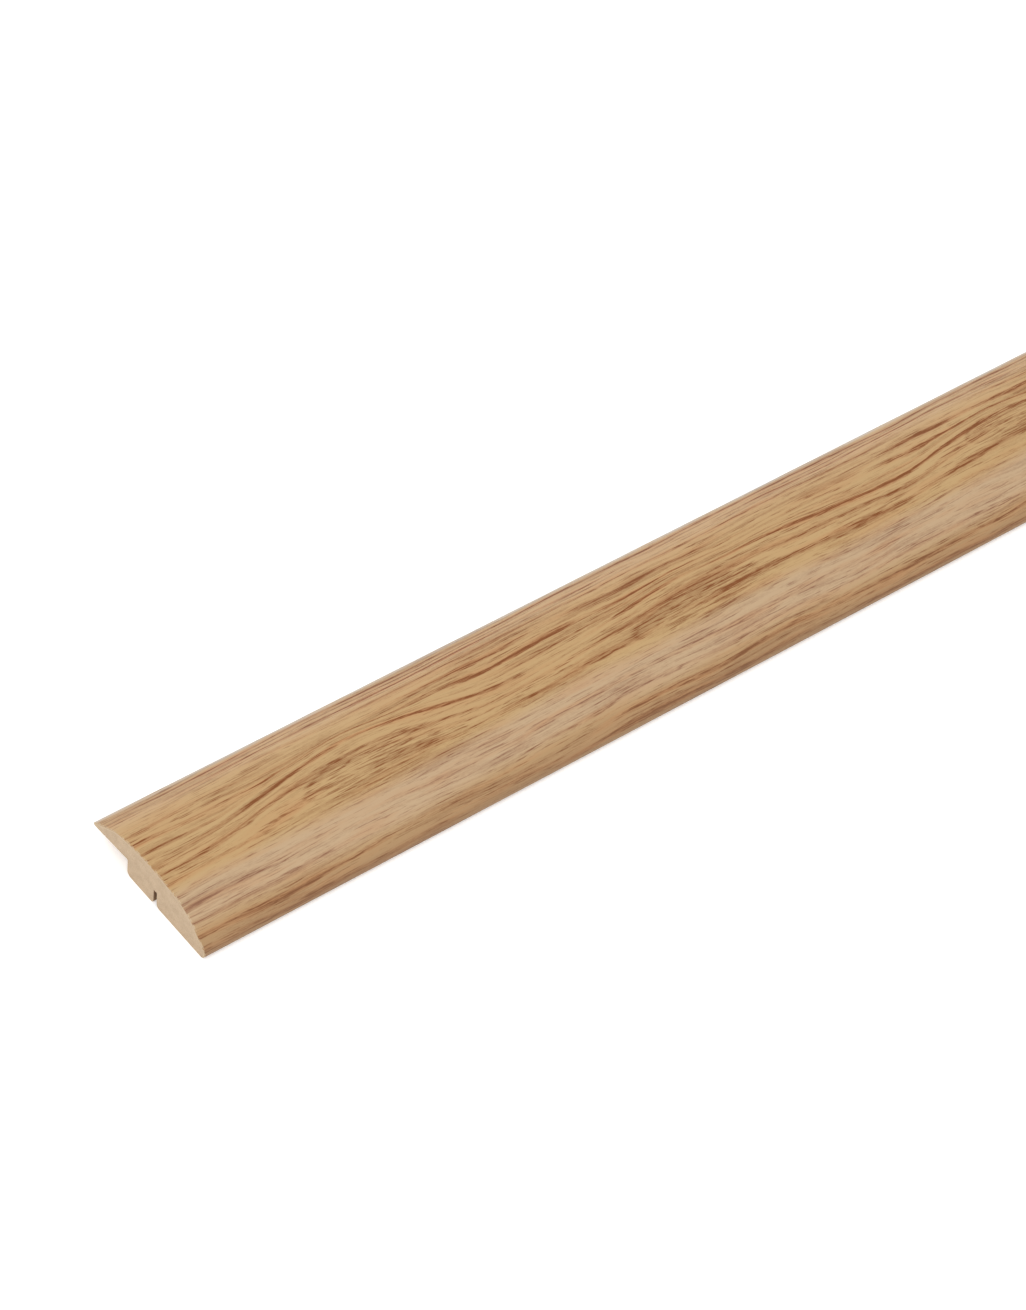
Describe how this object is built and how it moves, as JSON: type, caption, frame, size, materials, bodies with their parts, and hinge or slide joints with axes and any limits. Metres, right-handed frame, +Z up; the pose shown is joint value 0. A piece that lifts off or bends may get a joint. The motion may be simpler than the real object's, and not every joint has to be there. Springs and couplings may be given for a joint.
{
  "type": "threshold strip",
  "caption": "Straight moulded floor ramp strip: oak-effect foil on a fibreboard core, with a thin lip over the higher floor's edge and a rounded toe on the lower floor.",
  "frame": {"origin": "on the base plane, midway along the strip and midway between the lip's tip and the toe", "axes": "+X along the strip, +Y towards the lip, -Y towards the toe, +Z up out of the crowned face"},
  "size_m": [0.9, 0.048, 0.0123],
  "materials": {
    "bare_mdf": "raw saw-cut and moulded fibreboard, matt",
    "hot_melt_glue": "thin cream film, seen only at the cut ends",
    "oak_print": "satin lacquered oak print, grain along the strip"
  },
  "bodies": {
    "root": {"mdf_core": "bare_mdf", "glue_film": "hot_melt_glue", "oak_foil": "oak_print"}
  },
  "joints": []
}
